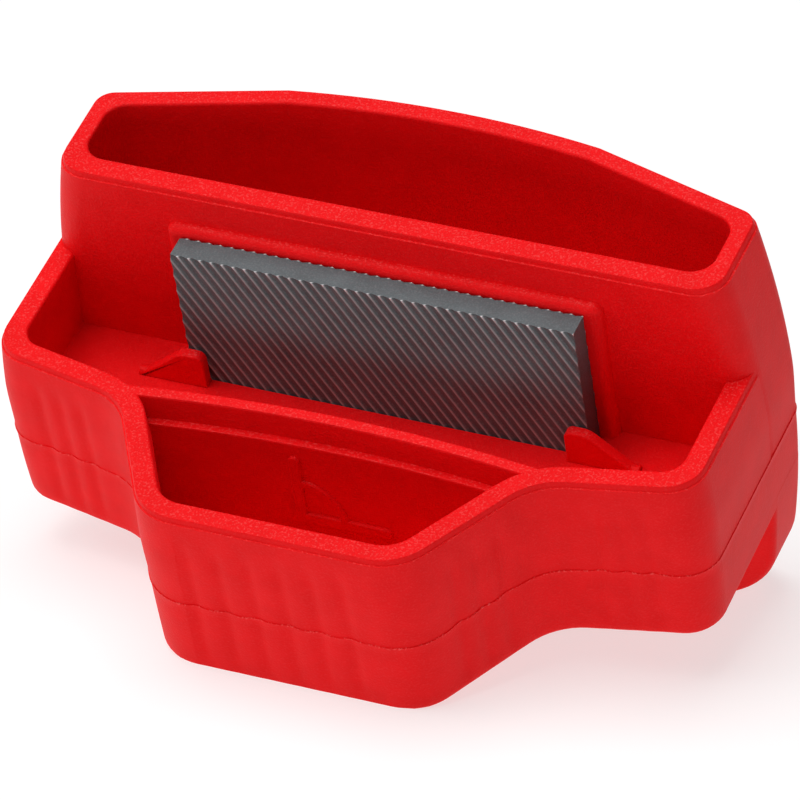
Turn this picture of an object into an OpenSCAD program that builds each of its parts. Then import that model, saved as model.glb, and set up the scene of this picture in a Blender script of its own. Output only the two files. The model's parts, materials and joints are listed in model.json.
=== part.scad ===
// Pocket edge tuning tool for skis: a moulded two-part body with one short file.
// x runs along the tool, y runs from the front to the rear and z runs up along the file.
// In the design frame, y = 0 is the rear face of the file and z = 0 is its top edge.
// The last step leans the tool forward to stand on its front edge and its foot.

/* [File] */
// Length of the file
file_len = 56; // [46:0.5:68]
// Height of the file, along its slot
file_h = 42; // [35:0.5:51]
// Thickness of the file
file_t = 3.5; // [2.5:0.1:4.5]
// Clearance round the file in its slot
file_gap = 0.1; // [0.05:0.01:0.3]
// How far the file stands out under the guide face
file_show = 5.3; // [3:0.1:8]

/* [Body] */
// Overall width, over the bulging side faces
body_w = 98.6; // [82:0.2:120]
// Distance from the file's rear face to the front wall
front_reach = 39.4; // [32:0.2:48]
// Distance from the file's rear face to the middle of the back
back_reach = 25.2; // [24:0.2:31]
// Height of the tall rear pocket's rim above the file
tower_up = 6.55; // [2:0.05:12]
// Depth of the low rim below the top of the file
rim_drop = 8.74; // [6:0.02:12]
// Depth of the file compartment's floor below the low rim
deck_drop = 12.76; // [10:0.02:16]
// Thickness of the compartment floor, whose underside is level with the seam between the shells
deck_t = 2.5; // [2:0.1:3.5]
// Thickness of the walls round the two front pockets
wall = 2.9; // [2.4:0.1:4]
// Thickness of the walls round the rear pocket
back_wall = 2.4; // [2.2:0.1:4]
// Radius of the barrel shape of the side faces, in front view
barrel_r = 133; // [100:1:400]

/* [Wings and nose] */
// Width of the nose at the front
nose_w = 35; // [28:0.2:40]
// Width over the two inner corners where the nose meets the wings
bend_w = 57.2; // [50:0.2:62]
// Distance from the file's rear face to the wings' front corners
wing_reach = 17.45; // [14:0.1:20]
// Distance from the file's rear face to the inner corners beside the nose
bend_reach = 21.4; // [20:0.1:24]

/* [Back] */
// Width between the two knees of the back
knee_w = 43.6; // [36:0.2:52]
// How far the back bulges out between the knees
back_bulge = 1.7; // [0.5:0.1:4]
// How far the back comes forward from the knees to the rear corners
corner_set = 8.25; // [5:0.05:10]

/* [Sole and foot] */
// Angle between the guide face and the file
edge_angle = 88; // [86:0.5:90]
// Thickness of the sole
sole_t = 3; // [2:0.1:4]
// Distance from the file's rear face to the foot
foot_gap = 4.5; // [3.5:0.1:6]
// Depth of the foot below the file
foot_below_file = 10; // [8:0.2:14]
// Radius of the foot's two lower end corners, in front view
foot_end_r = 13; // [8:0.5:16]
// Radius of the front part's lower edge
nose_edge_r = 4; // [2.5:0.1:5]
// Radius of the foot's lower edges
foot_edge_r = 2; // [1:0.1:3]

/* [Inside] */
// Thickness of the curved partition, at its top
part_t = 1.7; // [1.2:0.1:2.5]
// Step on the partition's front, where it gets thicker
part_step = 1.1; // [0.5:0.1:1.5]
// Height of the partition's thin part
part_lip = 3.9; // [2:0.1:6]
// Distance from the file's rear face to the middle of the partition
part_reach = 17; // [15:0.1:18]
// Radius of the partition, in plan
part_r = 218; // [120:1:400]
// Thickness of the wall between the file compartment and the rear pocket
mid_wall = 3.2; // [2.4:0.1:4]
// How far the backing pad behind the file stands out of that wall
pad_t = 1.7; // [1:0.1:2.5]
// How far the pad reaches past each end of the file
pad_over = 2.2; // [1:0.1:4]
// How far the pad reaches above the file
pad_up = 1.3; // [0:0.1:1.5]
// Thickness of the lower shell's skin round the nested pockets
skin = 1.2; // [1:0.05:1.4]
// Clearance between the two shells where they nest
nest_gap = 0.12; // [0.05:0.01:0.2]
// Thickness of the pocket floors
floor_t = 1.4; // [1:0.1:2]

/* [Clip fins] */
// Thickness of a fin
fin_t = 1.6; // [1.2:0.1:2]
// Height of a fin above the compartment floor
fin_h = 5.2; // [4:0.1:7]
// Length of a fin along the tool
fin_len = 9.8; // [7:0.1:12]
// Length of a fin's level top
fin_top = 2.7; // [1.5:0.1:4]
// How far a fin reaches over the end of the file
fin_over = 2.7; // [1.5:0.1:5]
// Clearance round the root of a fin
fin_gap = 0.12; // [0.05:0.01:0.3]

/* [Hidden] */
$fn = 64;
arc_steps = 6;
far = 200;
eps = 0.01;

side_x = body_w / 2;
rim_z = -rim_drop;
deck_z = rim_z - deck_drop;
seam_z = deck_z - deck_t;
step_z = rim_z - part_lip;
guide_front_z = -(file_h - file_show);
foot_z = -(file_h + foot_below_file);
wall_y = pad_t + file_gap;
well_y = wall_y + mid_wall;
sole_top_z = guide_z(foot_gap) + sole_t;
tub_z = sole_top_z + 0.4;
well_z = tub_z + floor_t;
fin_r = fin_t / 2;
fin_y = -file_t - file_gap - fin_r;
fin_x = file_len / 2 - fin_over;
stop_len = 5;
stop_t = 3;
stop_gap = 0.02;
block_x = file_len / 2 + file_gap;
block_back_y = foot_gap + 2;

// Height of the sloping guide face at distance y from the file's rear face.
function guide_z(y) = guide_front_z + tan(90 - edge_angle) * (y + front_reach);

// How far the back has come forward at height z.
function lean(z) = 0.0014 * pow(z + 5, 2);

// ---- outlines: points [a, b, radius], in clockwise order ----

function unit(v) = v / norm(v);
function flat(p) = [p[0], p[1]];

// Corner b between its neighbours a and c, as an arc of radius b[2].
function corner(a, b, c) =
    let (p = flat(b), u = unit(flat(a) - p), v = unit(flat(c) - p))
    let (half = acos(u * v) / 2, hub = p + unit(u + v) * b[2] / sin(half))
    let (s = p + u * b[2] / tan(half) - hub, e = p + v * b[2] / tan(half) - hub)
    let (first = atan2(s[1], s[0]), turn = atan2(s[0] * e[1] - s[1] * e[0], s * e))
    [for (i = [0 : arc_steps]) hub + b[2] * [cos(first + turn * i / arc_steps),
                                             sin(first + turn * i / arc_steps)]];

function rounded(pts) = let (n = len(pts)) [for (i = [0 : n - 1])
    each (pts[i][2] > 0 ? corner(pts[(i + n - 1) % n], pts[i], pts[(i + 1) % n]) : [flat(pts[i])])];

// The same outline moved inwards by d on every side.
function drawn_in(pts, d) = let (n = len(pts)) [for (i = [0 : n - 1])
    let (p = flat(pts[i]), u = unit(p - flat(pts[(i + n - 1) % n])), v = unit(flat(pts[(i + 1) % n]) - p))
    let (across = [u[1] + v[1], -u[0] - v[0]] / (1 + u * v), bend = u[0] * v[1] - u[1] * v[0])
    let (r = pts[i][2], q = p + across * d)
    [q[0], q[1], r > 0 ? max(bend < 0 ? r - d : r + d, 0.5) : 0]];

function both_sides(half) =
    concat(half, [for (i = [len(half) - 1 : -1 : 0]) [-half[i][0], half[i][1], half[i][2]]]);

knee_y = back_reach - back_bulge;
corner_y = knee_y - corner_set;
plan = both_sides(concat(
    [for (f = [0.2 : 0.2 : 1]) [knee_w / 2 * f, back_reach - back_bulge * f * f, 0]],
    [[side_x, corner_y, 4],
     [side_x, -wing_reach, 5],
     [bend_w / 2, -bend_reach, 6],
     [nose_w / 2, -front_reach, 4]]));

back_heights = [for (i = [0 : 7]) tower_up + (foot_z + 4 - tower_up) * i / 7];
side = concat(
    [[-front_reach, rim_z, 0], [wall_y, rim_z, 0], [wall_y, tower_up, 0]],
    [for (z = back_heights) [back_reach - lean(z), z, 0]],
    [[back_reach - lean(foot_z), foot_z, foot_edge_r],
     [foot_gap, foot_z, foot_edge_r],
     [foot_gap, guide_z(foot_gap), 1.5],
     [-front_reach, guide_front_z, nose_edge_r]]);

// Prism of the plan outline drawn in by d, between two heights.
module plan_prism(d, z0, z1) {
    translate([0, 0, z0]) linear_extrude(z1 - z0) polygon(rounded(drawn_in(plan, d)));
}

// Barrel shape of the body in front view, drawn in by d, with the foot's round ends.
module barrel(d) {
    rotate([90, 0, 0]) linear_extrude(far, center = true) intersection() {
        translate([side_x - d - barrel_r, seam_z]) circle(barrel_r, $fn = 256);
        translate([d + barrel_r - side_x, seam_z]) circle(barrel_r, $fn = 256);
        polygon(rounded(drawn_in([[side_x + 2, far / 2, 0], [side_x + 2, seam_z, 0],
                                  [side_x - 2, foot_z, foot_end_r], [2 - side_x, foot_z, foot_end_r],
                                  [-side_x - 2, seam_z, 0], [-side_x - 2, far / 2, 0]], d)));
    }
}

// A shape drawn in side view, as [y, z] points, carried along the whole tool.
module side_prism(pts) {
    rotate([90, 0, 90]) linear_extrude(far, center = true) polygon(rounded(pts));
}

// The solid block that both shells are cut from.
module body_block() {
    intersection() {
        plan_prism(0, foot_z - 1, tower_up + 1);
        barrel(0);
        side_prism(side);
    }
}

// Box between two x, two y and two z values.
module span(x, y, z) {
    translate([x[0], y[0], z[0]]) cube([x[1] - x[0], y[1] - y[0], z[1] - z[0]]);
}

// Upright disc whose edge is the curved partition's face, `d` in front of its rear face.
module partition_disc(d, z0, z1) {
    translate([0, -part_reach - part_r, z0]) cylinder(h = z1 - z0, r = part_r - d, $fn = 256);
}

// Room inside the rear pocket, made larger all round by `more`.
module rear_room(more, z0) {
    intersection() {
        plan_prism(back_wall - more, z0, tower_up + 1);
        barrel(back_wall - more);
        span([-far, far], [well_y - more, far], [z0, tower_up + 1]);
    }
}

// Room inside the front pocket, made larger all round by `more`.
module front_room(more, z0, z1) {
    intersection() {
        plan_prism(wall - more, z0, z1);
        barrel(wall - more);
        partition_disc(part_t + part_step - more, z0, z1);
    }
}

// Room above the floor of the file compartment.
module file_room() {
    difference() {
        intersection() {
            plan_prism(wall, deck_z, rim_z + 1);
            barrel(wall);
            span([-far, far], [-far, wall_y], [deck_z, rim_z + 1]);
        }
        partition_disc(0, deck_z - 1, rim_z + 2);
    }
}

module file_slot(z0, z1) {
    x = file_len / 2 + file_gap;
    span([-x, x], [-file_t - file_gap, file_gap], [z0, z1]);
}

module backing_pad() {
    x = file_len / 2 + pad_over;
    span([-x, x], [file_gap, wall_y + eps], [deck_z - eps, pad_up]);
}

// ---- sub-parts, in the design frame ----

module upper_shell_part() {
    color("red") difference() {
        union() {
            intersection() {
                body_block();
                span([-far, far], [-far, far], [seam_z, tower_up + 1]);
            }
            difference() {
                union() {
                    rear_room(back_wall - skin - nest_gap, tub_z);
                    front_room(wall - skin - nest_gap, tub_z, seam_z + eps);
                }
                span([-far, far], [-far, far], [seam_z + eps, far]);
            }
            backing_pad();
        }
        rear_room(0, well_z);
        front_room(0, well_z, step_z);
        intersection() {
            plan_prism(wall, step_z - eps, rim_z + 1);
            barrel(wall);
            partition_disc(part_t, step_z - eps, rim_z + 1);
        }
        difference() {
            file_room();
            backing_pad();
        }
        file_slot(seam_z - 1, rim_z);
        for (s = [-1, 1]) fin_groove(s);
    }
}

module lower_shell_part() {
    color("red") difference() {
        union() {
            difference() {
                intersection() {
                    body_block();
                    span([-far, far], [-far, far], [foot_z - 1, seam_z]);
                }
                intersection() {
                    plan_prism(skin, foot_z, seam_z + 1);
                    barrel(skin);
                    side_prism(hollow);
                }
            }
            span([-block_x, block_x], [file_gap, block_back_y], [-file_h - stop_t, sole_top_z - sole_t / 2]);
            for (s = [-1, 1]) file_stop(s);
        }
        file_slot(-file_h - stop_gap, seam_z);
    }
}

// Side view of the hollow inside the lower shell: shallow over the sole and deep in the foot.
hollow = [[-far, seam_z + 1, 0], [far, seam_z + 1, 0], [far, foot_z + foot_edge_r, 0],
          [block_back_y, foot_z + foot_edge_r, 0], [block_back_y, sole_top_z, 0],
          [-front_reach, guide_front_z + sole_t, 0], [-far, guide_front_z + sole_t, 0]];

// Ledge that one end of the file stands on.
module file_stop(s) {
    x = file_len / 2;
    mirror([s > 0 ? 0 : 1, 0, 0])
        span([x - stop_len, x], [-file_t, file_gap + eps], [-file_h - stop_t, -file_h - stop_gap]);
}

module file_part() {
    color("slategray") span([-file_len / 2, file_len / 2], [-file_t, 0], [-file_h, 0]);
}

// Half-round groove in the floor that a fin's root lies in.
module fin_groove(s) {
    x0 = fin_x - fin_gap;
    x1 = fin_x + fin_len + fin_gap;
    translate([s > 0 ? x0 : -x1, fin_y, deck_z]) rotate([0, 90, 0])
        cylinder(h = x1 - x0, r = fin_r + fin_gap);
}

// Thin springy fin: a round root in the floor and a plate that slopes down towards its outer end.
module fin(s) {
    mirror([s > 0 ? 0 : 1, 0, 0]) color("red") {
        translate([fin_x, fin_y + fin_r, deck_z]) rotate([90, 0, 0]) linear_extrude(fin_t)
            polygon([[0, 0], [0, fin_h], [fin_top, fin_h], [fin_len, 0.4], [fin_len, 0]]);
        translate([fin_x, fin_y, deck_z]) rotate([0, 90, 0]) cylinder(h = fin_len, r = fin_r);
    }
}

// ---- stance: the tool leans until its front edge and its foot touch the same plane ----

nose_hub = [nose_edge_r - front_reach, guide_z(nose_edge_r - front_reach) + nose_edge_r];
foot_hub = [foot_gap + foot_edge_r, foot_z + foot_edge_r];
hub_line = foot_hub - nose_hub;
stance = asin((nose_edge_r - foot_edge_r) / norm(hub_line)) * -1 - atan2(hub_line[1], hub_line[0]);
side_pts = rounded(side);
stance_ys = [for (p = side_pts) p[0] * cos(stance) - p[1] * sin(stance)];
stance_zs = [for (p = side_pts) p[0] * sin(stance) + p[1] * cos(stance)];

module stand() {
    translate([0, -(max(stance_ys) + min(stance_ys)) / 2, -min(stance_zs)])
        rotate([stance, 0, 0]) children();
}

module upper_shell() { stand() upper_shell_part(); }
module lower_shell() { stand() lower_shell_part(); }
module file() { stand() file_part(); }
module left_clip_fin() { stand() fin(-1); }
module right_clip_fin() { stand() fin(1); }

upper_shell();
lower_shell();
file();
left_clip_fin();
right_clip_fin();
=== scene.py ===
# %% [markdown]
# # A ski edge tuning tool, built in cells
# The real tool is a palm-sized red moulding that holds one short steel file at a fixed angle.
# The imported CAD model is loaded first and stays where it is: it says where every piece goes.
# Each detailed piece below takes the place of one CAD node and moves with the same body.

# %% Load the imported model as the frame
import json
import math

import bmesh
import bpy
import numpy as np
from mathutils import Matrix, Vector


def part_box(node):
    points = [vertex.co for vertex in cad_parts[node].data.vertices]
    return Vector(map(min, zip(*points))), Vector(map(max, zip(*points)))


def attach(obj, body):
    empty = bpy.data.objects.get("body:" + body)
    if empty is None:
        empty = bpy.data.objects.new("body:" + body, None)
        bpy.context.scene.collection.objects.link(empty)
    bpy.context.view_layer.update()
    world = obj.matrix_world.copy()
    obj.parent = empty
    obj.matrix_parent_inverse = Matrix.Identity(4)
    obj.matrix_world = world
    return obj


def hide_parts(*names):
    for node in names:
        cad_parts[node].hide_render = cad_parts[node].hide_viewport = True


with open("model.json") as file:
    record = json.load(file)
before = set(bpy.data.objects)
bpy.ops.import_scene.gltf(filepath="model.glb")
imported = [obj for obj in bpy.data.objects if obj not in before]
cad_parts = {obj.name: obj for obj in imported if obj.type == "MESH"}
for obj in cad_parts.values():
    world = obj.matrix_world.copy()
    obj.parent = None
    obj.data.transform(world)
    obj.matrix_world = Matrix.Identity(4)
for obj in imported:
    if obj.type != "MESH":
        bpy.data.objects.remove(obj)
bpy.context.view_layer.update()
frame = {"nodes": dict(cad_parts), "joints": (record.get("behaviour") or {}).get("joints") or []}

print("CAD nodes:", ", ".join(sorted(frame["nodes"])))

# %% [markdown]
# ## Two frames
# The tool is easiest to draw upright, in millimetres, with the file standing straight: x runs
# along the file, y to the rear and z up, and the file's rear top edge is the origin. The packed
# model leans on its front edge and its foot. The axis of the joint that lets the file slide out
# gives the lean, and the file's own box gives the rest, so nothing is fitted by eye.

# %% The lean, and the file's sizes, from the frame
slide_axis = next(j["axis"] for j in frame["joints"] if j["name"] == "file_lift")
stance = math.atan2(-slide_axis[1], slide_axis[2])
cosine, sine = math.cos(stance), math.sin(stance)
file_low, file_high = (np.array(corner) * 1000 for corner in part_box("file"))
file_len, file_deep, file_tall = file_high - file_low
spread = cosine ** 2 - sine ** 2
file_t = (cosine * file_deep - sine * file_tall) / spread
file_h = (cosine * file_tall - sine * file_deep) / spread
lift = file_high[2]
shift = file_low[1] + file_t * cosine
body_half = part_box("upper_shell")[1][0] * 1000
print(f"lean {math.degrees(stance):.2f} degrees, file {file_len:.1f} x {file_t:.1f} x {file_h:.1f} mm")


def stand(points):
    """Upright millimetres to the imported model's metres: turn about x by the lean, then shift."""
    x, y, z = np.moveaxis(np.asarray(points, float), -1, 0)
    return np.stack([x, cosine * y - sine * z + shift, sine * y + cosine * z + lift], -1) / 1000


# %% [markdown]
# ## The camera
# A long lens from in front and above, a little to the right, gives the flat perspective of a
# product view. It is set by what it looks at, its two angles and its distance.

# %% Camera
camera_aim = Vector((5.31, -7.24, 32.57)) / 1000
camera_azimuth, camera_elevation, camera_roll = 23.24, 25.54, 0.95
camera_distance = 0.882


def make_camera():
    """Camera on a sphere round its aim, turned to look inwards, then rolled about its own view line."""
    azimuth, elevation = math.radians(camera_azimuth), math.radians(camera_elevation)
    away = Vector((math.sin(azimuth) * math.cos(elevation),
                   -math.cos(azimuth) * math.cos(elevation), math.sin(elevation)))
    camera = bpy.data.objects.new("camera", bpy.data.cameras.new("camera"))
    camera.data.lens = 312.12
    camera.data.sensor_width = 36
    camera.data.clip_start = 0.05
    turn = away.to_track_quat("Z", "Y").to_matrix().to_4x4()
    roll = Matrix.Rotation(math.radians(camera_roll), 4, "Z")
    camera.matrix_world = Matrix.Translation(camera_aim + away * camera_distance) @ turn @ roll
    bpy.context.scene.collection.objects.link(camera)
    bpy.context.scene.camera = camera
    return camera


print("camera at", [round(v, 3) for v in make_camera().matrix_world.translation])

# %% [markdown]
# ## Solids that add and subtract
# The shell is a moulding with deep rooms in it. A single surface folded round every wall would be
# hard to read, so each lump and each room is a closed surface from numpy, and they are then added
# or cut by Blender's Manifold solver, which needs closed surfaces and gives closed ones back. A
# small class lets that be written as sums.

# %% A closed solid with + - and &


class Solid:
    """A closed mesh in upright millimetres."""

    def __init__(self, name, points, faces):
        """Mesh of these points and faces, with all its faces turned outward."""
        mesh = bpy.data.meshes.new(name)
        mesh.from_pydata(np.asarray(points).reshape(-1, 3).tolist(), [], faces)
        shape = bmesh.new()
        shape.from_mesh(mesh)
        bmesh.ops.recalc_face_normals(shape, faces=shape.faces)
        shape.to_mesh(mesh)
        shape.free()
        self.object = bpy.data.objects.new(name, mesh)
        bpy.context.scene.collection.objects.link(self.object)

    def boolean(self, other, operation):
        """This solid after the operation with the other one, which is used up."""
        modifier = self.object.modifiers.new("boolean", "BOOLEAN")
        modifier.operation = operation
        modifier.solver = "MANIFOLD"
        modifier.object = other.object
        made = self.object.evaluated_get(bpy.context.evaluated_depsgraph_get())
        mesh = bpy.data.meshes.new_from_object(made)
        self.object.modifiers.clear()
        self.object.data = mesh
        bpy.data.objects.remove(other.object)
        if not len(mesh.polygons):
            raise RuntimeError(f"{operation} left nothing of {self.object.name}")
        return self

    def __add__(self, other):
        """All that is in either solid."""
        return self.boolean(other, "UNION")

    def __sub__(self, other):
        """This solid without the other."""
        return self.boolean(other, "DIFFERENCE")

    def __and__(self, other):
        """Only what is in both solids."""
        return self.boolean(other, "INTERSECT")


def loft(name, rings):
    """Solid through rings (levels, around, 3): quads between neighbours and a flat face on each end."""
    levels, around, _ = rings.shape
    ids = np.arange(levels * around).reshape(levels, around)
    after = np.roll(ids, -1, 1)
    quads = np.stack([ids[:-1], ids[1:], after[1:], after[:-1]], -1).reshape(-1, 4)
    return Solid(name, rings, quads.tolist() + [ids[0].tolist(), ids[-1, ::-1].tolist()])


print("solids ready")

# %% [markdown]
# ## Outlines with round corners
# Seen from above, every wall of the moulding follows one outline, drawn in by some depth. An
# outline is a list of corners with a radius each, and numpy works it out for all heights at once.
# Drawing in moves each corner along its mitre: an outer corner gets sharper, an inner one softer.

# %% Draw in and round a whole stack of outlines
arc_steps = 8
edge_guard = 0.12  # how far the guard points that keep flat faces flat stand from a rounding


def unit(vectors):
    """Each vector divided by its own length."""
    return vectors / np.linalg.norm(vectors, axis=-1, keepdims=True)


def turned(a, b):
    """Signed turn from a to b: the cross product of two plane vectors."""
    return a[..., 0] * b[..., 1] - a[..., 1] * b[..., 0]


def drawn_in(corners, depth, least=0.3):
    """Corners (levels, count, 3) moved in by depth per level, along (n1 + n2) / (1 + n1.n2).

    n1 and n2 are the inward normals of the two sides that meet there. An outer corner's radius
    shrinks by the depth and an inner corner's grows by it, and none goes under `least`."""
    here = corners[..., :2]
    arriving = unit(here - np.roll(here, 1, 1))
    leaving = unit(np.roll(here, -1, 1) - here)
    both = arriving + leaving
    share = 1 + (arriving * leaving).sum(-1, keepdims=True)
    mitre = np.stack([both[..., 1], -both[..., 0]], -1) / share
    depth = np.asarray(depth, float).reshape(-1, 1)
    radius = corners[..., 2] + np.where(turned(arriving, leaving) < 0, -depth, depth)
    radius = np.where(corners[..., 2] > 0, np.maximum(radius, least), 0)
    return np.concatenate([here + mitre * depth[..., None], radius[..., None]], -1)


def rounded(corners, fine=()):
    """Outline points (levels, n, 2), and where the straight runs named in `fine` lie among them.

    Each corner is an arc about hub = corner + bisector * r / sin(half angle). `fine` gives, for
    the run after a corner, how many even points it is split by."""
    fine = dict(fine)
    here, radius = corners[..., :2], corners[..., 2:]
    back, on = unit(np.roll(here, 1, 1) - here), unit(np.roll(here, -1, 1) - here)
    half = np.arccos(np.clip((back * on).sum(-1, keepdims=True), -1, 1)) / 2
    hub = here + unit(back + on + 1e-12) * radius / np.sin(half)
    first, last = here + back * radius / np.tan(half), here + on * radius / np.tan(half)
    parts, places, total = [], {}, 0
    for k in range(corners.shape[1]):
        follow = (k + 1) % corners.shape[1]
        if corners[0, k, 2] > 0:
            start, end = first[:, k] - hub[:, k], last[:, k] - hub[:, k]
            sweep = np.arctan2(turned(start, end), (start * end).sum(-1))
            angle = sweep[:, None] * np.linspace(0, 1, arc_steps + 1)
            cos, sin = np.cos(angle), np.sin(angle)
            part = hub[:, k, None] + np.stack([cos * start[:, :1] - sin * start[:, 1:],
                                               sin * start[:, :1] + cos * start[:, 1:]], -1)
        else:
            part = here[:, k, None]
        parts.append(part)
        total += part.shape[1]
        run = first[:, follow] - last[:, k]
        length = np.linalg.norm(run, axis=-1)
        if length.min() > 1 and (corners[0, k, 2] > 0 or corners[0, follow, 2] > 0):
            guard = edge_guard / length[:, None]
            even = np.linspace(0, 1, fine.get(k, 0) + 2)[1:-1]
            share = np.concatenate([guard, np.broadcast_to(even, (len(length), len(even))), 1 - guard], 1)
            parts.append(last[:, k, None] + run[:, None] * share[..., None])
            places[k] = slice(total + 1, total + 1 + len(even))
            total += share.shape[1]
    return np.concatenate(parts, 1), places


def raised(outline, heights):
    """Rings (levels, n, 3) from outlines (levels, n, 2) and one height per level or per point."""
    heights = np.asarray(heights, float)
    heights = heights if heights.ndim == 2 else heights[:, None]
    return np.concatenate([outline, np.broadcast_to(heights, outline.shape[:2])[..., None]], -1)


def box(name, x, y, z):
    """Plain block between two x, two y and two z values, as a loft of two rectangles."""
    ring = np.array([[x[0], y[1]], [x[1], y[1]], [x[1], y[0]], [x[0], y[0]]], float)
    return loft(name, raised(np.stack([ring, ring]), z))


print("outline tools ready")

# %% [markdown]
# ## The plan of the body
# From above the body is a nose, two wings beside it and a gently bowed back. Three small curves
# carry it up and down: the sides swell like a barrel, the back leans in and the front has the
# draft that lets a moulding leave its tool. All three are parabolas of the height.

# %% Sizes and plan outlines of the body
file_gap = 0.1
front_reach, back_reach, back_bulge = 39.4, 25.2, 1.7
nose_proud, wall_proud = 0.5, 0.3  # drawn out, so that round edges don't eat the outline
nose_half, bend_half, bend_reach, wing_reach = 17.5, 28.6, 21.4, 17.45
knee_half, rear_slope = 21.8, 0.28
tower_top, rim_z, deck_z, seam_z = 6.55, -8.74, -21.5, -24.0
wall, back_wall, skin, nest_gap = 2.9, 2.4, 1.2, 0.12
tower_face, well_front = 1.8, 5.0
well_z, tub_z, foot_z, foot_front = -30.4, -31.8, -52.0, 4.5
front_corner_r, rear_corner_r, room_r = 4.0, 2.6, 3.2
ring_rear, room_rear = 4.6, 6.2  # where the front ring and its rooms end, inside the tower's wall
barrel_r, foot_end_r, foot_edge_r = 133.0, 9.5, 1.2
part_reach, part_r, part_t, part_step, step_z = 17.0, 218.0, 1.7, 1.1, -12.64
knee_reach = back_reach - back_bulge


def side(z):
    """Half width at height z: widest at the seam, then narrower by distance squared / 2 r."""
    return body_half - (z - seam_z) ** 2 / (2 * barrel_r)


def lean(z):
    """How far the back comes forward, as a parabola with its top just under the file's edge."""
    return 0.0014 * (z + 5) ** 2


def draft(z):
    """How far the front wall steps back from its place at the seam, as a parabola of height."""
    return 0.0017 * (z - seam_z) ** 2


def guide(y):
    """Height of the sloping guide face: it rises two degrees from the front to the file."""
    return 5.3 - file_h + math.tan(math.radians(2)) * (y + front_reach)


def mirrored(z, half):
    """Right half of a plan, as (x, y, radius) that may vary with z, joined to its mirror image."""
    right = np.stack([np.stack([value + 0 * z for value in corner], -1) for corner in half], 1)
    return np.concatenate([right, right[:, ::-1] * (-1, 1, 1)], 1)


def back_half(z, width, corner_r):
    """The bow between the knees, y = reach - bulge * share squared, then the rear corner."""
    bow = [(knee_half * f, back_reach - back_bulge * f * f - lean(z), 0) for f in np.linspace(0.1, 1, 8)]
    return bow + [(width, knee_reach - lean(z) - rear_slope * (width - knee_half), corner_r)]


def front_half(z):
    """The wing's front corner, the inner bend and the nose's corner."""
    return [(side(z), draft(z) - wing_reach, 5), (bend_half, draft(z) - bend_reach, 9),
            (nose_half + nose_proud - draft(z), draft(z) - front_reach - nose_proud, 7.5)]


def rear_plan(z, front, width=None, radii=(rear_corner_r, front_corner_r)):
    """Tower or foot in plan: the bow behind, straight sides at `width` and a flat line at `front`."""
    width = side(z) if width is None else width
    return mirrored(z, back_half(z, width, radii[0]) + [(width, front, radii[1])])


def front_plan(z, rear, wider=0.0):
    """Wings and nose in plan, closed by a straight line at `rear`; the sides may stand wider."""
    half = front_half(z)
    return mirrored(z, [(side(z) + wider, rear, 0), (half[0][0] + wider, *half[0][1:])] + half[1:])


def whole_plan(z):
    """Whole body in plan: the bow and rear corners, then the wings and the nose."""
    return mirrored(z, back_half(z, side(z), rear_corner_r) + front_half(z))


print(f"half width {side(rim_z):.2f} mm at the rim, {side(tower_top):.2f} mm at the tower's top")

# %% [markdown]
# ## Edges and grip
# A moulded rim is flat, rolls over a small round edge and meets the wall at a narrow ledge, which
# shows as a thin light line under the rim. The walls carry shallow upright flutes for the fingers.
# They are not drawn as texture: the outline points themselves move in by a sum of bell curves, so
# the flutes are true geometry.

# %% Rim profiles and flutes
flute_depth, flute_half = 0.32, 1.0
wing_flutes = np.array([35.6, 38.9, 42.2])
flank_flutes = np.array([26.8, 30.1, 33.4])
nose_flutes = np.arange(-12.0, 11.0, 4.3)
fine_points = {"wing": 56, "flank": 56, "nose": 100}


def rolled(top, inward=0.15, height=0.95, ledge=0.2, edge_r=0.7, steps=7):
    """Heights and insets over an outer edge: a narrow ledge, then a quarter of an ellipse with
    height = top - r (1 - sin a) and inset = ledge + inward (1 - cos a)."""
    angle = np.linspace(0, np.pi / 2, steps)
    heights = np.concatenate([[top - height, top - height + 0.08], top - edge_r * (1 - np.sin(angle))])
    return heights, np.concatenate([[0, ledge], ledge + inward * (1 - np.cos(angle))])


def opened(top, depth, radius=0.5, steps=9, above=3.0):
    """Heights and insets of a room's cutter: it flares by a quarter circle to round the edge,
    with height = top - r (1 - sin a) and inset = depth - r (1 - cos a)."""
    angle = np.linspace(0, np.pi / 2, steps)
    heights = top - radius * (1 - np.sin(angle))
    return np.append(heights, top + above), np.append(depth - radius * (1 - np.cos(angle)), depth - radius)


def smooth(t):
    """Smooth step from 0 to 1: 3 t squared - 2 t cubed, held outside."""
    t = np.clip(t, 0, 1)
    return t * t * (3 - 2 * t)


def fade(z):
    """Strength of the flutes at height z: they rise out of the wall and sink back into it."""
    return smooth((-11.0 - z) / 5) * smooth((z + 36.0) / 5)


def fluted(rings, places, half_count):
    """Moves the outline in by depth * sum of exp(-((place - centre) / half width) squared)."""
    runs = [(half_count - 3, 0, wing_flutes), (half_count - 2, 1, flank_flutes),
            (half_count - 1, 0, nose_flutes),
            (half_count, 1, flank_flutes), (half_count + 1, 0, wing_flutes)]
    for run, axis, centres in runs:
        part = rings[:, places[run]]
        place = part[..., axis] if run == half_count - 1 else np.abs(part[..., axis])
        bells = np.exp(-((place[..., None] - centres) / flute_half) ** 2).sum(-1)
        along = unit(part[:, -1, :2] - part[:, 0, :2])
        inward = np.stack([along[:, 1], -along[:, 0]], -1)[:, None]
        part[..., :2] += inward * (flute_depth * bells * fade(part[..., 2]))[..., None]
    return rings


def fine_runs(half_count):
    """Which straight runs are split finely, for an outline with that many corners on each side."""
    return {half_count - 3: fine_points["wing"], half_count - 2: fine_points["flank"],
            half_count - 1: fine_points["nose"], half_count: fine_points["flank"],
            half_count + 1: fine_points["wing"]}


print("flutes on the nose:", len(nose_flutes), "and on each wing:", len(wing_flutes))

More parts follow.
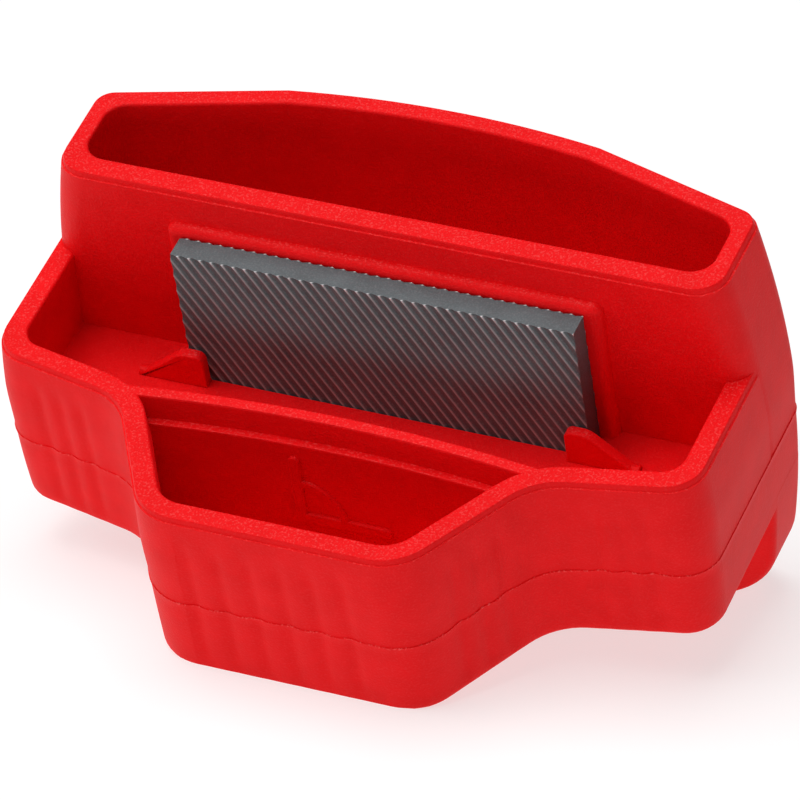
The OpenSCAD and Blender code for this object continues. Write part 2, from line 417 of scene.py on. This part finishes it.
# %% [markdown]
# ## The curved partition
# A thin wall bowed in plan divides the front pocket from the file's compartment. It is what is
# left between two rooms: one room is cut in front of its front arc, the other behind its rear arc.
# Both are prisms whose long side is a circle's arc, so the wall keeps an even thickness.

# %% Prisms in front of and behind the partition
partition_span = np.linspace(-47, 47, 95)
tub_ahead = 1.22  # the tub's rear face, in front of the partition's rear face


def partition_face(x, ahead):
    """Depth of the arc `ahead` of the rear face: -(reach + r) + sqrt((r - ahead)^2 - x^2)."""
    return -part_reach - part_r + np.sqrt((part_r - ahead) ** 2 - x ** 2)


def beside_partition(name, z, ahead, front):
    """Prism on one side of the arc; `ahead` may change with height, which rounds its edge."""
    z, ahead = np.asarray(z, float), np.asarray(ahead, float)[:, None]
    x = np.broadcast_to(partition_span, (len(z), len(partition_span)))
    arc = np.stack([x, partition_face(x, ahead)], -1)
    far_y = -60 if front else 20
    ends = np.broadcast_to([[47, far_y], [-47, far_y]], (len(z), 2, 2))
    return loft(name, raised(np.concatenate([arc, ends], 1), z))


print(f"partition passes y = {partition_face(0, 0):.2f} at the middle")

# %% [markdown]
# ## The top moulding
# The upper shell is a low ring of wings and nose, a tall tower behind it, and tubs below the seam
# that make the pockets deep. The ring's rear end hides inside the tower's front wall.

# %% Front ring with its two rooms


def front_ring():
    """Outer front body from the seam to the rolled rim, with the flutes."""
    roll_z, roll_in = rolled(rim_z)
    wall_z = np.linspace(seam_z, roll_z[0] - 0.2, 28)
    z = np.concatenate([wall_z, roll_z])
    depth = np.concatenate([np.zeros(len(wall_z)), roll_in]) - wall_proud * smooth((z - seam_z) / 8)
    corners = drawn_in(front_plan(z, ring_rear, wider=0.02), depth)
    points, places = rounded(corners, fine_runs(4))
    return loft("top_moulding", fluted(raised(points, z), places, 4))


def inner_front(name, floor_z, ceiling=rim_z):
    """Room inside the front walls, from its floor up past the rim, with a flared mouth."""
    mouth_z, mouth_in = opened(ceiling, wall)
    z = np.concatenate([[floor_z, floor_z + 0.25, mouth_z[0] - 0.2], mouth_z])
    depth = np.concatenate([[wall + 0.25, wall, wall], mouth_in])
    points, _ = rounded(drawn_in(front_plan(z, room_rear), depth, room_r))
    return loft(name, raised(points, z))


def front_body():
    """Ring plus tub, less three rooms: (room in the walls) & (one side of the partition's arc)."""
    tub_heights = np.array([tub_z, seam_z + 0.1])
    tub_points, _ = rounded(drawn_in(front_plan(tub_heights, room_rear), [skin + nest_gap] * 2))
    tub = loft("front_tub", raised(tub_points, tub_heights))
    tub = tub & beside_partition("tub_front", (tub_z - 1, seam_z + 1), (tub_ahead, tub_ahead), True)
    low, high = part_t + part_step, part_t
    step_levels = (well_z - 1, step_z - 0.25, step_z - 0.07, step_z)
    rim_levels = (rim_z - 0.3, rim_z - 0.09, rim_z, rim_z + 9)
    pocket = inner_front("pocket", well_z) & beside_partition(
        "pocket_front", step_levels, (low, low, low - 0.07, low - 0.25), True)
    mouth = inner_front("mouth", step_z - 0.02) & beside_partition(
        "mouth_front", (step_z - 1, *rim_levels),
        (high, high, high - 0.09, high - 0.3, high - 0.3), True)
    file_room = inner_front("file_room", deck_z) & beside_partition(
        "file_room_rear", (deck_z - 1, *rim_levels), (0, 0, 0.09, 0.3, 0.3), False)
    return front_ring() + tub - pocket - mouth - file_room


shell = front_body()
print("front body has", len(shell.object.data.polygons), "faces")

# %% [markdown]
# The tower is lofted the same way from the rear outline, and its room is cut to the same depth as
# the pocket in front. The pad behind the file stands a little out of the tower's front wall.

# %% Tower, its room, the backing pad and the file's slot


def tower():
    """Tower from the seam to its rolled rim: the rear plan at every height, drawn in at the rim."""
    roll_z, roll_in = rolled(tower_top)
    wall_z = np.linspace(seam_z, roll_z[0] - 0.2, 24)
    z = np.concatenate([wall_z, roll_z])
    depth = np.concatenate([np.zeros(len(wall_z)), roll_in]) - wall_proud * smooth((z - seam_z) / 8)
    points, _ = rounded(drawn_in(rear_plan(z, tower_face), depth))
    return loft("tower", raised(points, z))


def rear_room(name, z, depth, least=0.3):
    """Room or tub inside the tower: its front line is set so that the walls come out right."""
    z = np.asarray(z, float)
    points, _ = rounded(drawn_in(rear_plan(z, well_front - back_wall), depth, least))
    return loft(name, raised(points, z))


def tower_room():
    """Room inside the tower: the back wall's thickness away from its outside, flared at the mouth."""
    mouth_z, mouth_in = opened(tower_top, back_wall)
    rise = np.linspace(well_z + 0.3, mouth_z[0] - 0.2, 16)
    z = np.concatenate([[well_z], rise, mouth_z])
    depth = np.concatenate([[back_wall + 0.3], np.full(len(rise), back_wall), mouth_in])
    return rear_room("tower_room", z, depth, room_r)


def soft_block(name, x, y, z, round_r):
    """Block with round upright corners and a round top edge, inset by r (1 - cos a) as it rises."""
    angle = np.linspace(0, np.pi / 2, 7)
    heights = np.concatenate([[z[0]], z[1] - round_r * (1 - np.sin(angle))])
    depth = np.concatenate([[0], round_r * (1 - np.cos(angle))])
    flat = [(x[0], y[1], round_r), (x[1], y[1], round_r), (x[1], y[0], round_r), (x[0], y[0], round_r)]
    corners = np.broadcast_to(np.array(flat, float), (len(heights), 4, 3))
    points, _ = rounded(drawn_in(corners, depth))
    return loft(name, raised(points, heights))


def file_slot(name, z):
    """The file's own block, larger by the gap on all four sides, between two heights."""
    reach = file_len / 2 + file_gap
    return box(name, (-reach, reach), (-file_t - file_gap, file_gap), z)


shell = shell + tower() + rear_room("rear_tub", np.linspace(tub_z, seam_z + 0.1, 6), [skin + nest_gap] * 6)
pad_over, pad_up, pad_round, pad_rear = 2.2, 1.3, 1.3, 4.4
pad_x = file_len / 2 + pad_over
shell = shell + soft_block("pad", (-pad_x, pad_x), (file_gap, pad_rear), (deck_z - 0.6, pad_up), pad_round)
shell = shell - tower_room()
shell = shell - file_slot("slot", (seam_z - 12, deck_z + 1))
print("top moulding has", len(shell.object.data.polygons), "faces")

# %% [markdown]
# ## The angle mark
# The partition's front face carries a raised mark that shows that the guide sets an angle.
# A plain angle sign, two bars and an arc, says that without lettering. Each stroke is an outline
# raised out of the bowed face, so it follows the curve of the wall behind it.

# %% Raised strokes on the partition
mark_height, mark_sunk = 0.4, 0.4


def band(line, half):
    """Outline of a band: the line moved to both sides by its normal, with a half circle on each end."""
    tangent = unit(np.gradient(line, axis=0))
    normal = np.stack([-tangent[:, 1], tangent[:, 0]], -1)
    cap = np.linspace(0, np.pi, 9)[1:-1, None]
    head = line[-1] + half * (np.cos(cap) * normal[-1] + np.sin(cap) * tangent[-1])
    tail = line[0] - half * (np.cos(cap) * normal[0] + np.sin(cap) * tangent[0])
    return np.concatenate([line + half * normal, head, (line - half * normal)[::-1], tail])


def stroke(name, line, half):
    """The band raised out of the bowed face, narrowing a little near its top to round its edge."""
    out = np.array([-mark_sunk, mark_height - 0.15, mark_height])
    rings = np.stack([band(line, half - narrower) for narrower in (0.0, 0.0, 0.15)])
    y = partition_face(rings[..., 0], part_t + part_step) - out[:, None]
    return loft(name, np.stack([rings[..., 0], y, rings[..., 1]], -1))


mark_corner = np.array([-6.0, -25.5])
opening = np.radians(88)
arc = np.linspace(0, opening, 20)[:, None]
base_bar = mark_corner + np.linspace(0, 12, 13)[:, None] * (1, 0)
upright_bar = mark_corner + np.linspace(0, 10, 11)[:, None] * (np.cos(opening), np.sin(opening))
arc_bar = mark_corner + 6.2 * np.concatenate([np.cos(arc), np.sin(arc)], 1)
strokes = {"base_bar": (base_bar, 0.8), "upright_bar": (upright_bar, 0.8), "arc_bar": (arc_bar, 0.55)}
for name, (line, half) in strokes.items():
    shell = shell + stroke(name, line, half)
print("angle mark raised by", mark_height, "mm")

# %% [markdown]
# ## The clip fins
# Two springy fins lie across the file's ends and keep it against the pad. Each is a flat plate with
# a sloping top and a round root that turns in a groove in the floor.

# %% Fins and their grooves
fin_t, fin_clear = 1.6, 0.06
fin_y = -file_t - file_gap - fin_t / 2
fin_x = file_len / 2 - 2.7
fin_len, fin_h, fin_top = 9.8, 5.2, 3.2


def rod(name, x, radius):
    """Round bar along x at the fin's root: a circle carried from one end to the other."""
    angle = np.linspace(0, 2 * np.pi, 33)[:-1]
    ring = np.stack([0 * angle, fin_y + radius * np.cos(angle), deck_z + radius * np.sin(angle)], -1)
    return loft(name, ring + np.array([[[x[0], 0, 0]], [[x[1], 0, 0]]]))


def fin(name, hand):
    """Plate: the outline in x and z, drawn in towards both faces so that its edges are round."""
    round_r = 0.3
    angle = np.linspace(0, np.pi / 2, 5)
    across = fin_t / 2 - round_r * (1 - np.sin(angle))
    inward = round_r * (1 - np.cos(angle))
    across = np.concatenate([-across[::-1], across])
    depth = np.concatenate([inward[::-1], inward])
    flat = [(fin_x, deck_z + fin_h, 1.1), (fin_x + fin_top, deck_z + fin_h, 3.0),
            (fin_x + fin_len, deck_z - 0.1, 0.3), (fin_x + fin_len, deck_z - 0.6, 0.2),
            (fin_x, deck_z - 0.6, 0.2)]
    corners = np.broadcast_to(np.array(flat, float), (len(across), len(flat), 3))
    points, _ = rounded(drawn_in(corners, depth))
    rings = np.stack([points[..., 0] * hand, np.broadcast_to((fin_y + across)[:, None], points.shape[:2]),
                      points[..., 1]], -1)
    ends = sorted((hand * fin_x, hand * (fin_x + fin_len)))
    return loft(name, rings) + rod(name + "_root", ends, fin_t / 2)


for hand in (-1, 1):
    ends = sorted((hand * (fin_x - fin_clear), hand * (fin_x + fin_len + fin_clear)))
    shell = shell - rod("groove", ends, fin_t / 2 + fin_clear)
fins = {"left_spring_fin": fin("left_spring_fin", -1), "right_spring_fin": fin("right_spring_fin", 1)}
print("fins reach", round(fin_x + fin_len, 1), "mm from the middle")

# %% [markdown]
# ## The base moulding
# The lower shell closes the body from below. Its flat sole is the guide that slides on the ski, two
# degrees off square to the file, and the tall foot behind carries the hand's load. The sole's
# rings are not level: each point's height follows the sloping guide face.

# %% Sole, foot and the hollow inside
sole_roll_in, sole_roll_up = 3.4, 1.5
sole_t = 3.0
plan_drop, plan_low = 9.5, -34.5  # heights at which the plan is taken, before the slope is known


def tray():
    """Lower body from the seam to the guide face.

    A wall ring at share t of the way up is at height bottom + t (seam - bottom). The lower edge is
    a quarter ellipse: inset = a (1 - cos v), height = bottom + b (1 - sin v). At the seam the wall
    steps out a little, which makes the fine bead that a joint between two mouldings shows."""
    bead_share, bead_depth = [1.0, 0.992, 0.972, 0.90], [-0.03, -0.13, -0.10, 0.0]
    wall_steps, roll_steps = 13, 8
    angle = np.linspace(0, np.pi / 2, roll_steps + 1)
    share = np.concatenate([bead_share, np.linspace(0.86, 0, wall_steps)])
    roll_in = sole_roll_in * (1 - np.cos(angle[1:]))
    depth = np.concatenate([bead_depth, np.zeros(wall_steps), roll_in])
    nominal = np.concatenate([seam_z + (share - 1) * plan_drop, np.full(roll_steps, plan_low)])
    points, places = rounded(drawn_in(whole_plan(nominal), depth), fine_runs(12))
    walls = len(share)
    curve = guide(points[..., 1]) + sole_roll_up
    straight = curve[:walls] + share[:, None] * (seam_z - curve[:walls])
    round_part = curve[walls:] - sole_roll_up * np.sin(angle[1:])[:, None]
    z = np.concatenate([straight, round_part])
    grow = (side(z) - side(nominal)[:, None]) * smooth((np.abs(points[..., 0]) - 30) / 12)
    points[..., 0] += np.sign(points[..., 0]) * grow
    return loft("base_moulding", fluted(raised(points, z), places, 12)[::-1])


def foot(name, z, depth):
    """Foot block: its half width is the barrel's, less r - sqrt(r^2 - drop^2) on the lower ends."""
    drop = np.clip(foot_z + foot_end_r - z, 0, foot_end_r)
    low = np.clip(foot_z + foot_edge_r - z, 0, foot_edge_r)
    edge = foot_edge_r - np.sqrt(foot_edge_r ** 2 - low ** 2)
    width = side(z) - foot_end_r + np.sqrt(foot_end_r ** 2 - drop ** 2) + edge + 0.02
    points, _ = rounded(drawn_in(rear_plan(z, foot_front, width, (rear_corner_r, 1.0)), edge + depth))
    return loft(name, raised(points, z))


foot_turn = np.linspace(0, 1, 15)[1:] * np.pi / 2
foot_levels = np.concatenate([np.linspace(tub_z - 0.1, foot_z + foot_end_r, 6),
                              foot_z + foot_end_r * (1 - np.sin(foot_turn))])
base = tray() + foot("foot", foot_levels[::-1], 0.0)


def hollow_levels():
    """Room over the sole, drawn in by the skin: its floor is the guide face raised by the sole."""
    z = np.array([seam_z + 1.0, seam_z - 6.0])
    points, _ = rounded(drawn_in(whole_plan(z), [skin, skin + 0.1]))
    heights = np.stack([np.full(points.shape[1], z[0]), guide(points[1, :, 1]) + sole_t])
    return loft("hollow", raised(points, heights)[::-1])


base = base - hollow_levels()
base = base - foot("foot_hollow", np.linspace(foot_z + 2, seam_z - 4, 8), skin)
block_half = file_len / 2 + file_gap
stop_len, stop_t, stop_gap = 5, 3, 0.02
stop_z = (-file_h - stop_t, -file_h - stop_gap)
block_z = (-file_h - stop_t, guide(foot_front) + sole_t / 2)
base = base + box("support", (-block_half, block_half), (file_gap, foot_front + 2), block_z)
for hand in (-1, 1):
    ends = sorted((hand * (file_len / 2 - stop_len), hand * file_len / 2))
    base = base + box("stop", ends, (-file_t, file_gap + 0.02), stop_z)
base = base - file_slot("slot", (-file_h - stop_gap, seam_z + 1))
print("base moulding has", len(base.object.data.polygons), "faces")

# %% [markdown]
# ## The file
# A file's teeth are cut as parallel slanting ridges. A flat grid is sheared so that its diagonals
# run exactly along the ridges, and each vertex is pushed in by a saw-tooth of its distance across
# them. The crests are therefore true edges, and the file's outline is jagged where they end.

# %% Toothed faces on a sheared grid
tooth_pitch, tooth_depth, tooth_steps = 1.57, 0.26, 6
tooth_slant = math.tan(math.radians(30))


def saw(phase):
    """Height of a tooth from 0 to 1: it climbs slowly for most of its pitch and drops quickly."""
    return np.where(phase < 0.67, phase / 0.67, (1 - phase) / 0.33)


def toothed_file():
    """Two facing grids (rows, columns): y = face -+ depth (1 - saw), joined by plain edge bands.

    The value on each vertex for the painted highlight is how near a crest it is, and it is strongest at the
    file's top edge."""
    step = tooth_pitch / tooth_steps
    columns = int(round(file_len / step)) + 1
    rows = int(round(file_h / (step / tooth_slant))) + 1
    i, j = np.meshgrid(np.arange(columns), np.arange(rows))
    x = -file_len / 2 + file_len * i / (columns - 1)
    z = -file_h * j / (rows - 1)
    height = saw(((i - j) % tooth_steps) / tooth_steps)
    front = np.stack([x, -file_t + tooth_depth * (1 - height), z], -1)
    back = np.stack([x, -tooth_depth * (1 - height), z], -1)
    ids = np.arange(rows * columns).reshape(rows, columns)
    a, b, c, d = ids[:-1, :-1], ids[:-1, 1:], ids[1:, 1:], ids[1:, :-1]
    face = np.concatenate([np.stack([a, b, c], -1).reshape(-1, 3), np.stack([a, c, d], -1).reshape(-1, 3)])
    rim = np.concatenate([ids[0, :-1], ids[:-1, -1], ids[-1, :0:-1], ids[:0:-1, 0]])
    other = rows * columns
    below_teeth = tooth_depth - 0.02
    flat_rim = front.reshape(-1, 3)[rim] * (1, 0, 1)
    edges = [flat_rim + (0, y, 0) for y in (below_teeth - file_t, -below_teeth)]
    loops = [rim, 2 * other + np.arange(len(rim)), 2 * other + len(rim) + np.arange(len(rim)), rim + other]
    bands = [np.stack([a, np.roll(a, -1), np.roll(b, -1), b], -1) for a, b in zip(loops, loops[1:])]
    faces = face[:, ::-1].tolist() + (face + other).tolist() + np.concatenate(bands).tolist()
    solid = Solid("toothed_file", np.concatenate([front.reshape(-1, 3), back.reshape(-1, 3), *edges]), faces)
    # painted highlight on the tooth crests, stronger near the file's top edge
    near_top = np.clip(1 + z / 0.6, 0, 1)
    bright = np.clip((height - 0.75) / 0.25, 0, 1) * (0.38 + 0.62 * near_top)
    painted_crest_highlight = solid.object.data.attributes.new("painted_crest_highlight", "FLOAT", "POINT")
    plain_band = np.zeros(2 * len(rim))
    values = np.concatenate([bright.ravel(), bright.ravel(), plain_band])
    painted_crest_highlight.data.foreach_set("value", values.astype(np.float32))
    return solid


steel = toothed_file()
print("file has", len(steel.object.data.polygons), "faces")

# %% [markdown]
# ## Shader maths as Python
# Node trees are hard to read as code. One small class wraps a socket, so that adding or multiplying
# two values adds the Math node that does it, and one method makes any other node.

# %% A socket that can be calculated with


class Wire:
    """An output socket of a material's node tree."""

    def __init__(self, tree, socket=None):
        """The tree, and a socket in it; with no socket it only adds nodes."""
        self.tree, self.socket = tree, socket

    def node(self, kind, settings=(), values=(), output=0):
        """Adds a node of any kind: its settings are set first, then its sockets' values or links."""
        made = self.tree.nodes.new(kind)
        for name, value in dict(settings).items():
            setattr(made, name, value)
        for name, value in dict(values).items():
            if isinstance(value, Wire):
                self.tree.links.new(value.socket, made.inputs[name])
            else:
                made.inputs[name].default_value = value
        return Wire(self.tree, made.outputs[output])

    def maths(self, operation, first, second=0.0):
        """One Math node: `operation` of two numbers or wires."""
        return self.node("ShaderNodeMath", {"operation": operation}, {0: first, 1: second})

    def __add__(self, other):
        """self + other"""
        return self.maths("ADD", self, other)

    def __sub__(self, other):
        """self - other"""
        return self.maths("SUBTRACT", self, other)

    def __rsub__(self, other):
        """other - self"""
        return self.maths("SUBTRACT", other, self)

    def __mul__(self, other):
        """self * other"""
        return self.maths("MULTIPLY", self, other)

    __radd__ = __add__
    __rmul__ = __mul__

    def between(self, low, high):
        """0 below low, 1 above high, and even between."""
        return self.node("ShaderNodeMapRange", (), {0: self, 1: low, 2: high})

    def mix(self, first, second):
        """Colour between two colours, by this value."""
        return self.node("ShaderNodeMix", {"data_type": "RGBA"}, {0: self, 6: first, 7: second}, 2)

    def noise(self, scale, detail=2.0):
        """Cloudy pattern on this vector."""
        return self.node("ShaderNodeTexNoise", (), {"Vector": self, "Scale": scale, "Detail": detail})


def new_material(name, constants):
    """Material with one Principled shader, whose fixed numbers are set on its own sockets."""
    material = bpy.data.materials.new(name)
    material.use_nodes = True
    shader = material.node_tree.nodes["Principled BSDF"]
    for socket, value in constants.items():
        shader.inputs[socket].default_value = value
    return material, shader, Wire(material.node_tree)


def connect(shader, **wires):
    """Links values to the shader's sockets, whose names are given with _ for each space."""
    for name, wire in wires.items():
        wire.tree.links.new(wire.socket, shader.inputs[name.replace("_", " ")])


print("shader maths ready")

# %% [markdown]
# ## Spark-eroded red plastic
# The mould's walls were spark eroded, which leaves the plastic with a fine, even grain that breaks
# up its gloss into tiny glints. Two noises do it: one at a third of a millimetre gives the grain
# its bump and its pale speckle, which is painted glints, and one of a few millimetres varies the
# colour as a real moulding does. The painted glints are strong on faces that look up towards the
# top light, such as the rims, and weak on the steep walls. They are strongest on the thin bead at
# the seam, which is painted as a pale light line. A value on each face of the piece, set when it
# is finished, tells the shader how much glint to paint there.

# %% Red plastic
grain_scale, cloud_scale = 3400.0, 260.0  # per metre


def red_plastic():
    """Colour = red shade, mixed to pale by painted glints in the grain (0.08, plus 0.30 on faces that look
    up and more on the seam's bead); roughness = 0.42 + 0.2 grain.
    """
    material, shader, wire = new_material("spark_eroded_red", {"IOR": 1.46, "Specular IOR Level": 0.12})
    place = wire.node("ShaderNodeTexCoord", output="Object")
    painted_glint = wire.node("ShaderNodeAttribute", {"attribute_name": "painted_glint"}, output="Fac")
    grain = place.noise(grain_scale, 3.0)
    cloud = place.noise(cloud_scale, 2.0)
    speckle = grain.between(0.52, 0.66)
    shade = cloud.between(0.3, 0.7).mix((0.82, 0.0024, 0.0042, 1), (0.88, 0.0034, 0.0060, 1))
    # pale speckle: painted glints, more on faces that look up and most on the seam's bead
    colour = (speckle * (0.08 + 0.30 * painted_glint)).mix(shade, (0.95, 0.110, 0.105, 1))
    bump = wire.node("ShaderNodeBump", (), {"Strength": 0.7, "Distance": 0.00010, "Height": grain})
    connect(shader, Base_Color=colour, Roughness=0.42 + 0.2 * grain, Normal=bump)
    return material


finishes = {"red_plastic": red_plastic()}
print("made", finishes["red_plastic"].name)

# %% [markdown]
# ## Filed steel
# The file is dark hardened steel. The crests of its teeth get a painted highlight, strongest along
# the file's top edge. The crests are known from the geometry, so the file carries a value on each
# vertex that says how near a crest it is, and the shader paints the steel light and smooths it there.

# %% Steel
grit_scale, stain_scale = 4200.0, 180.0  # per metre


def file_steel():
    """Colour = stained dark steel, mixed to worn by grit and to a painted highlight on the crests; crests
    are smoother.
    """
    material, shader, wire = new_material("filed_steel", {"Metallic": 0.12, "Specular IOR Level": 0.6})
    place = wire.node("ShaderNodeTexCoord", output="Object")
    painted_crest_highlight = wire.node("ShaderNodeAttribute", {"attribute_name": "painted_crest_highlight"}, output="Fac")
    grit = place.noise(grit_scale, 3.0)
    stain = place.noise(stain_scale, 2.0)
    dark = stain.between(0.3, 0.7).mix((0.062, 0.088, 0.094, 1), (0.086, 0.122, 0.130, 1))
    worn = (grit.between(0.45, 0.75) * 0.4).mix(dark, (0.19, 0.24, 0.25, 1))
    # painted highlight on the tooth crests
    colour = painted_crest_highlight.mix(worn, (0.78, 0.86, 0.87, 1))
    bump = wire.node("ShaderNodeBump", (), {"Strength": 0.35, "Distance": 0.00004, "Height": grit})
    connect(shader, Base_Color=colour, Roughness=0.50 - 0.14 * painted_crest_highlight + 0.1 * grit, Normal=bump)
    return material


finishes["file_steel"] = file_steel()
print("made", finishes["file_steel"].name)

# %% [markdown]
# ## Standing the pieces up
# Every piece so far is upright and in millimetres. The last step moves its points into the packed
# model's frame and leaves its object at the origin. Doubled points from the Booleans are merged,
# faces are smooth, and only true corners stay sharp.

# %% Finish each piece and put it on its body
bead_drop, bead_half = 0.12, 0.13  # the bead's middle under the seam, and half its height
level_from, level_span = 0.75, 0.2  # upward part of a normal where the painted glints come in
merge_gap, sliver = 0.002, 0.0005


def painted_glint_faces(mesh):
    """Painted glint per face: clip((up - from) / span, 0, 1) above the deck where a face looks up to the
    light, plus 2 on the seam's bead for a painted light line.
    """
    normals, centres = np.empty(len(mesh.polygons) * 3), np.empty(len(mesh.polygons) * 3)
    mesh.polygons.foreach_get("normal", normals)
    mesh.polygons.foreach_get("center", centres)
    up, height = normals[2::3], centres[2::3]
    level = np.clip((up - level_from) / level_span, 0, 1) * (height > deck_z + 2)
    return level + 2.0 * ((np.abs(height - seam_z + bead_drop) < bead_half) & (up > -0.5))


def finish_piece(solid, body, slot, node, sharp=20):
    """Cleans the mesh, stands it up, keeps edges over `sharp` degrees, hides its CAD node and puts it on its
    body.
    """
    piece = solid.object
    mesh = piece.data
    shape = bmesh.new()
    shape.from_mesh(mesh)
    bmesh.ops.remove_doubles(shape, verts=shape.verts, dist=merge_gap)
    bmesh.ops.dissolve_degenerate(shape, edges=shape.edges, dist=sliver)
    open_edges = sum(not edge.is_manifold for edge in shape.edges)
    shape.to_mesh(mesh)
    shape.free()
    # how much painted glint each face gets, with the seam bead's painted light line
    painted_glint = mesh.attributes.new("painted_glint", "FLOAT", "FACE")
    painted_glint.data.foreach_set("value", painted_glint_faces(mesh).astype(np.float32))
    points = np.empty(len(mesh.vertices) * 3)
    mesh.vertices.foreach_get("co", points)
    standing = stand(points.reshape(-1, 3))
    standing[:, 2] = np.maximum(standing[:, 2], 0)  # the nose's lower edge is flat where it stands
    mesh.vertices.foreach_set("co", standing.ravel())
    mesh.shade_smooth()
    mesh.set_sharp_from_angle(angle=math.radians(sharp))
    mesh.materials.clear()
    mesh.materials.append(finishes[slot])
    mesh.update()
    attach(piece, body)
    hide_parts(node)
    print(f"{piece.name}: {len(mesh.polygons)} faces, {open_edges} open edges, rides {body}")


finish_piece(shell, "body", "red_plastic", "upper_shell")
finish_piece(base, "body", "red_plastic", "lower_shell")
finish_piece(steel, "file", "file_steel", "file", sharp=24)
finish_piece(fins["left_spring_fin"], "left_fin", "red_plastic", "left_clip_fin")
finish_piece(fins["right_spring_fin"], "right_fin", "red_plastic", "right_clip_fin")

# %% [markdown]
# ## Floor and light
# Three broad soft lights from above and a little to the left make the rims come out lightest and
# the right side darkest. The floor glows a little, as a light table does, which keeps it white
# beside the tool and keeps the shadow faint.

# %% Studio


def floor():
    """Square of 6 m at the height of zero, pale and faintly glowing."""
    mesh = bpy.data.meshes.new("floor")
    mesh.from_pydata([(-3, -3, 0), (3, -3, 0), (3, 3, 0), (-3, 3, 0)], [], [(0, 1, 2, 3)])
    made = bpy.data.objects.new("floor", mesh)
    bpy.context.scene.collection.objects.link(made)
    material, shader, _ = new_material("pale_floor", {
        "Base Color": (0.42, 0.42, 0.42, 1), "Roughness": 0.8,
        "Emission Color": (1, 1, 1, 1), "Emission Strength": 0.62})
    mesh.materials.append(material)


def soft_light(name, place, size, power):
    """Square area light at a place in metres, turned to face the tool."""
    light = bpy.data.lights.new(name, "AREA")
    light.size, light.energy = size, power
    made = bpy.data.objects.new(name, light)
    place = Vector(place)
    turn = (place - Vector((0, 0, 0.03))).to_track_quat("Z", "Y").to_matrix().to_4x4()
    made.matrix_world = Matrix.Translation(place) @ turn
    bpy.context.scene.collection.objects.link(made)


floor()
soft_light("key_light", (-1.05, -0.55, 0.95), 0.9, 5)
soft_light("top_light", (-0.15, -0.1, 1.3), 0.9, 10)
soft_light("front_light", (-0.2, -0.7, 1.2), 0.8, 4)
world = bpy.data.worlds.new("studio")
world.use_nodes = True
world.node_tree.nodes["Background"].inputs["Color"].default_value = (1, 1, 1, 1)
world.node_tree.nodes["Background"].inputs["Strength"].default_value = 0.20
bpy.context.scene.world = world
bpy.context.scene.view_settings.view_transform = "Standard"
print("studio ready")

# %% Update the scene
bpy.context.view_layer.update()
